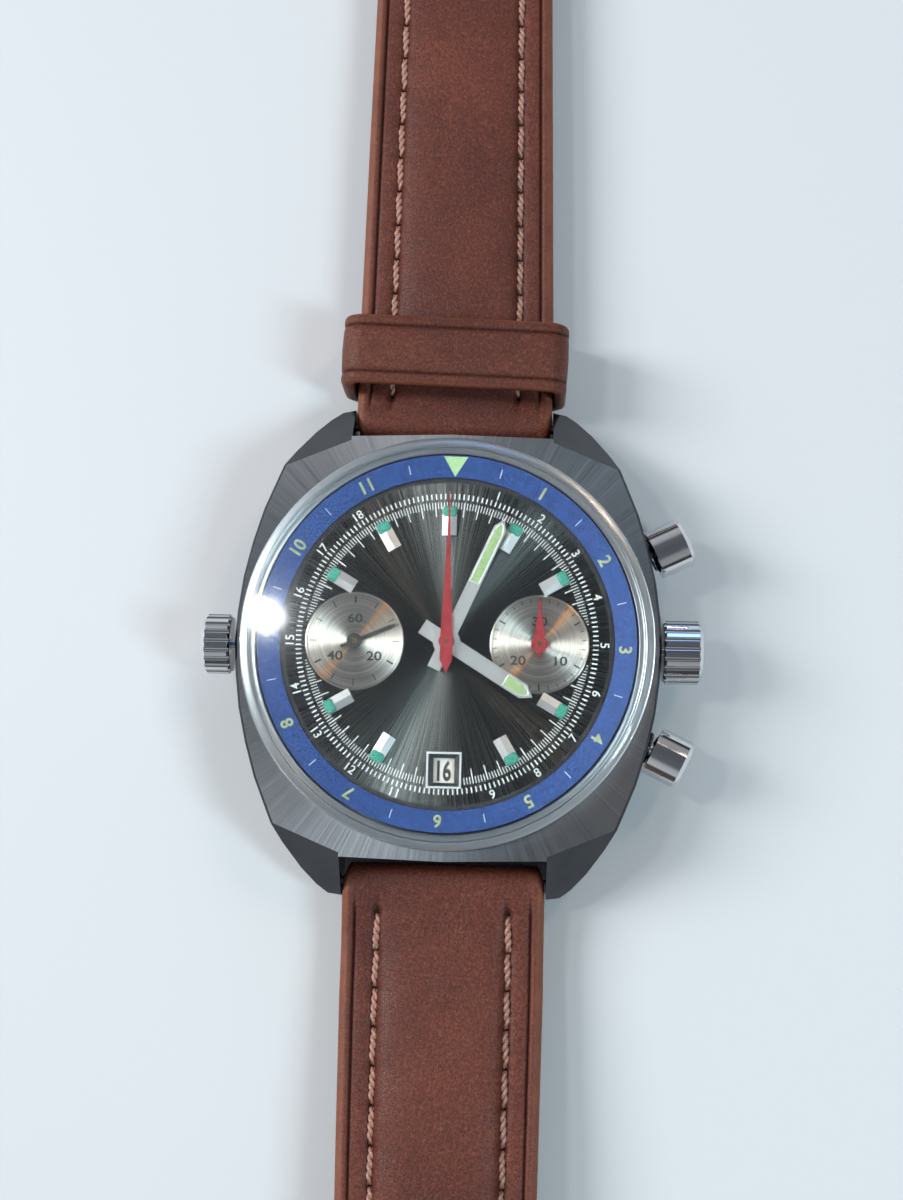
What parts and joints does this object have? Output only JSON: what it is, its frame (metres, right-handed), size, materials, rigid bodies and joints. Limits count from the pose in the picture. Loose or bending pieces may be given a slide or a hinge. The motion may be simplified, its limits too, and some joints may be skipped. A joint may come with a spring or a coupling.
{
  "type": "chronograph wristwatch",
  "caption": "Mechanical chronograph wristwatch with two small dials, date window, turning inner ring, two crowns, two pushers and a padded leather strap.",
  "frame": {"origin": "centre of the case back's outer flat face", "axes": "+Z out through the crystal, +Y to 12 o'clock, +X to the winding crown at 3 o'clock"},
  "size_m": [0.0442, 0.2438, 0.0126],
  "materials": {
    "case_brushed": "radially brushed top with polished lug bevels",
    "polished_steel": "polished",
    "back_steel": "circular brushed",
    "gasket_rubber": "matte",
    "crystal_acrylic": "clear, polished",
    "bezel_blue": "metallic blue with printed numerals",
    "dial_anthracite": "sunburst black with printed scales",
    "marker_steel": "satin facets",
    "hand_steel": "satin, luminous inlay",
    "hand_red": "gloss",
    "hand_black": "satin",
    "date_white": "matte print",
    "movement_gilt": "gilt",
    "wheel_brass": "polished",
    "movement_steel": "polished",
    "spring_steel": "spring temper",
    "strap_leather": "padded brown calf, semi-gloss",
    "keeper_leather": "brown, creased edges"
  },
  "bodies": {
    "case": {"case_middle": "case_brushed", "case_back": "back_steel", "back_ring": "back_steel", "back_gasket": "gasket_rubber", "crystal": "crystal_acrylic", "crystal_tension_ring": "polished_steel", "case_tubes": "polished_steel", "start_pusher_spring": "spring_steel", "reset_pusher_spring": "spring_steel", "dial": "dial_anthracite", "hour_markers": "marker_steel", "date_window_frame": "marker_steel", "main_plate": "movement_gilt", "train_bridge": "movement_gilt", "balance_cock": "movement_gilt", "chrono_bridge": "movement_gilt", "hairspring": "spring_steel", "movement_screws": "movement_steel", "spring_bars": "spring_steel"},
    "inner_bezel": {"inner_bezel_ring": "bezel_blue"},
    "bezel_crown": {"bezel_stem": "movement_steel", "bezel_crown": "polished_steel"},
    "setting_lever": {"setting_lever": "movement_steel"},
    "winding_crown": {"winding_crown": "polished_steel", "winding_stem": "movement_steel"},
    "winding_pinion": {"winding_pinion": "movement_steel"},
    "sliding_pinion": {"sliding_pinion": "movement_steel"},
    "crown_wheel": {"crown_wheel": "movement_steel"},
    "ratchet": {"ratchet_wheel": "movement_steel", "barrel_arbor": "movement_steel"},
    "barrel": {"mainspring_barrel": "wheel_brass", "mainspring": "spring_steel"},
    "start_pusher": {"start_pusher": "polished_steel"},
    "reset_pusher": {"reset_pusher": "polished_steel"},
    "operating_lever": {"operating_lever": "movement_steel"},
    "reset_hammer": {"reset_hammer": "movement_steel"},
    "date_ring": {"date_ring": "date_white"},
    "hour_hand": {"hour_wheel": "wheel_brass", "hour_hand": "hand_steel"},
    "minute_hand": {"centre_wheel": "wheel_brass", "cannon_pinion": "movement_steel", "minute_hand": "hand_steel"},
    "minute_wheel": {"minute_wheel": "wheel_brass"},
    "third_wheel": {"third_wheel": "wheel_brass"},
    "small_seconds": {"fourth_wheel": "wheel_brass", "small_seconds_hand": "hand_black"},
    "escape_wheel": {"escape_wheel": "movement_steel"},
    "balance": {"balance_wheel": "wheel_brass"},
    "pallet_fork": {"pallet_fork": "movement_steel"},
    "chrono_seconds": {"chrono_runner": "wheel_brass", "chrono_seconds_hand": "hand_red"},
    "minute_counter": {"minute_counter_wheel": "wheel_brass", "minute_counter_hand": "hand_red"},
    "strap_buckle_side": {"strap_buckle_side": "strap_leather", "fixed_keeper": "keeper_leather", "buckle_bar": "spring_steel"},
    "strap_tail_side": {"strap_tail_side": "strap_leather"},
    "free_keeper": {"free_keeper": "keeper_leather"},
    "buckle_frame": {"buckle_frame": "polished_steel"},
    "buckle_tongue": {"buckle_tongue": "polished_steel"}
  },
  "joints": [
    {"name": "bezel_turn", "type": "hinge", "parent": "case", "child": "inner_bezel", "pos_m": [0, 0, 0.009], "axis": [0, 0, 1], "continuous": true},
    {"name": "bezel_crown_turn", "type": "hinge", "parent": "case", "child": "bezel_crown", "pos_m": [-0.019, 0, 0.0053], "axis": [1, 0, 0], "continuous": true},
    {"name": "crown_pull", "type": "slide", "parent": "case", "child": "setting_lever", "axis": [1, 0, 0], "range_m": [0, 0.0006]},
    {"name": "crown_turn", "type": "hinge", "parent": "setting_lever", "child": "winding_crown", "pos_m": [0.019, 0, 0.0053], "axis": [1, 0, 0], "continuous": true},
    {"name": "winding_pinion_turn", "type": "hinge", "parent": "case", "child": "winding_pinion", "pos_m": [0.011, 0, 0.0053], "axis": [1, 0, 0], "continuous": true},
    {"name": "sliding_pinion_shift", "type": "slide", "parent": "winding_pinion", "child": "sliding_pinion", "axis": [1, 0, 0], "range_m": [-0.0006, 0]},
    {"name": "crown_wheel_turn", "type": "hinge", "parent": "case", "child": "crown_wheel", "pos_m": [0.008, 0, 0.0035], "axis": [0, 0, 1], "continuous": true},
    {"name": "ratchet_turn", "type": "hinge", "parent": "case", "child": "ratchet", "pos_m": [0.00315, 0.00546, 0.0035], "axis": [0, 0, 1], "continuous": true},
    {"name": "small_seconds_turn", "type": "hinge", "parent": "case", "child": "small_seconds", "pos_m": [-0.008, 0, 0.0045], "axis": [0, 0, 1], "continuous": true},
    {"name": "third_wheel_turn", "type": "hinge", "parent": "case", "child": "third_wheel", "pos_m": [-0.00458, -0.00286, 0.005], "axis": [0, 0, 1], "continuous": true},
    {"name": "minute_hand_turn", "type": "hinge", "parent": "case", "child": "minute_hand", "pos_m": [0, 0, 0.0058], "axis": [0, 0, 1], "continuous": true},
    {"name": "hour_hand_turn", "type": "hinge", "parent": "case", "child": "hour_hand", "pos_m": [0, 0, 0.0082], "axis": [0, 0, 1], "continuous": true},
    {"name": "minute_wheel_turn", "type": "hinge", "parent": "case", "child": "minute_wheel", "pos_m": [0.0026, -0.0015, 0.0078], "axis": [0, 0, 1], "continuous": true},
    {"name": "barrel_turn", "type": "hinge", "parent": "case", "child": "barrel", "pos_m": [0.00315, 0.00546, 0.005], "axis": [0, 0, 1], "continuous": true},
    {"name": "escape_wheel_turn", "type": "hinge", "parent": "case", "child": "escape_wheel", "pos_m": [-0.00908, -0.00402, 0.0055], "axis": [0, 0, 1], "continuous": true},
    {"name": "balance_swing", "type": "hinge", "parent": "case", "child": "balance", "pos_m": [-0.0036, -0.01, 0.0046], "axis": [0, 0, 1], "range_deg": [-270, 270], "stiffness_Nm_per_rad": 0.00000029},
    {"name": "pallet_rock", "type": "hinge", "parent": "case", "child": "pallet_fork", "pos_m": [-0.00685, -0.00645, 0.0056], "axis": [0, 0, 1], "range_deg": [-5, 5]},
    {"name": "chrono_seconds_turn", "type": "hinge", "parent": "case", "child": "chrono_seconds", "pos_m": [0, 0, 0.0027], "axis": [0, 0, 1], "continuous": true},
    {"name": "minute_counter_turn", "type": "hinge", "parent": "case", "child": "minute_counter", "pos_m": [0.008, 0, 0.0027], "axis": [0, 0, 1], "continuous": true},
    {"name": "date_turn", "type": "hinge", "parent": "case", "child": "date_ring", "pos_m": [0, 0, 0.0082], "axis": [0, 0, 1], "continuous": true},
    {"name": "start_push", "type": "slide", "parent": "case", "child": "start_pusher", "axis": [-0.9026, -0.4305, 0], "range_m": [0, 0.001], "stiffness_N_per_m": 400, "springref_m": -0.004, "deforming": ["start_pusher_spring"]},
    {"name": "reset_push", "type": "slide", "parent": "case", "child": "reset_pusher", "axis": [-0.9026, 0.4305, 0], "range_m": [0, 0.001], "stiffness_N_per_m": 400, "springref_m": -0.004, "deforming": ["reset_pusher_spring"]},
    {"name": "operating_lever_rock", "type": "hinge", "parent": "case", "child": "operating_lever", "pos_m": [0.00771, 0.01077, 0.00235], "axis": [0, 0, 1], "range_deg": [-9.6, 0]},
    {"name": "reset_hammer_rock", "type": "hinge", "parent": "case", "child": "reset_hammer", "pos_m": [0.00771, -0.01077, 0.00235], "axis": [0, 0, 1], "range_deg": [0, 9.6]},
    {"name": "strap_buckle_side_hinge", "type": "hinge", "parent": "case", "child": "strap_buckle_side", "pos_m": [0, 0.0206, 0.0032], "axis": [1, 0, 0], "range_deg": [-75, 12]},
    {"name": "strap_tail_side_hinge", "type": "hinge", "parent": "case", "child": "strap_tail_side", "pos_m": [0, -0.0206, 0.0032], "axis": [1, 0, 0], "range_deg": [-12, 75]},
    {"name": "free_keeper_slide", "type": "slide", "parent": "strap_buckle_side", "child": "free_keeper", "axis": [0, 1, 0], "range_m": [0, 0.05]},
    {"name": "buckle_hinge", "type": "hinge", "parent": "strap_buckle_side", "child": "buckle_frame", "pos_m": [0, 0.0956, 0.00175], "axis": [1, 0, 0], "range_deg": [-30, 90]},
    {"name": "tongue_hinge", "type": "hinge", "parent": "buckle_frame", "child": "buckle_tongue", "pos_m": [0, 0.0956, 0.00175], "axis": [1, 0, 0], "range_deg": [0, 110]}
  ],
  "couplings": [
    {"joint": "bezel_crown_turn", "follows": "bezel_turn", "ratio": 10.8},
    {"joint": "winding_pinion_turn", "follows": "crown_turn", "ratio": 1},
    {"joint": "crown_wheel_turn", "follows": "crown_turn", "ratio": 0.51613},
    {"joint": "ratchet_turn", "follows": "crown_turn", "ratio": -0.38095},
    {"joint": "sliding_pinion_shift", "follows": "crown_pull", "ratio": -1},
    {"joint": "third_wheel_turn", "follows": "small_seconds_turn", "ratio": -0.13333},
    {"joint": "minute_hand_turn", "follows": "small_seconds_turn", "ratio": 0.016667},
    {"joint": "hour_hand_turn", "follows": "small_seconds_turn", "ratio": 0.0013889},
    {"joint": "minute_wheel_turn", "follows": "small_seconds_turn", "ratio": -0.0055556},
    {"joint": "barrel_turn", "follows": "small_seconds_turn", "ratio": -0.0027778},
    {"joint": "escape_wheel_turn", "follows": "small_seconds_turn", "ratio": -12},
    {"joint": "minute_counter_turn", "follows": "chrono_seconds_turn", "ratio": 0.033333},
    {"joint": "operating_lever_rock", "follows": "start_push", "rad_per_m": -165},
    {"joint": "reset_hammer_rock", "follows": "reset_push", "rad_per_m": 165}
  ]
}
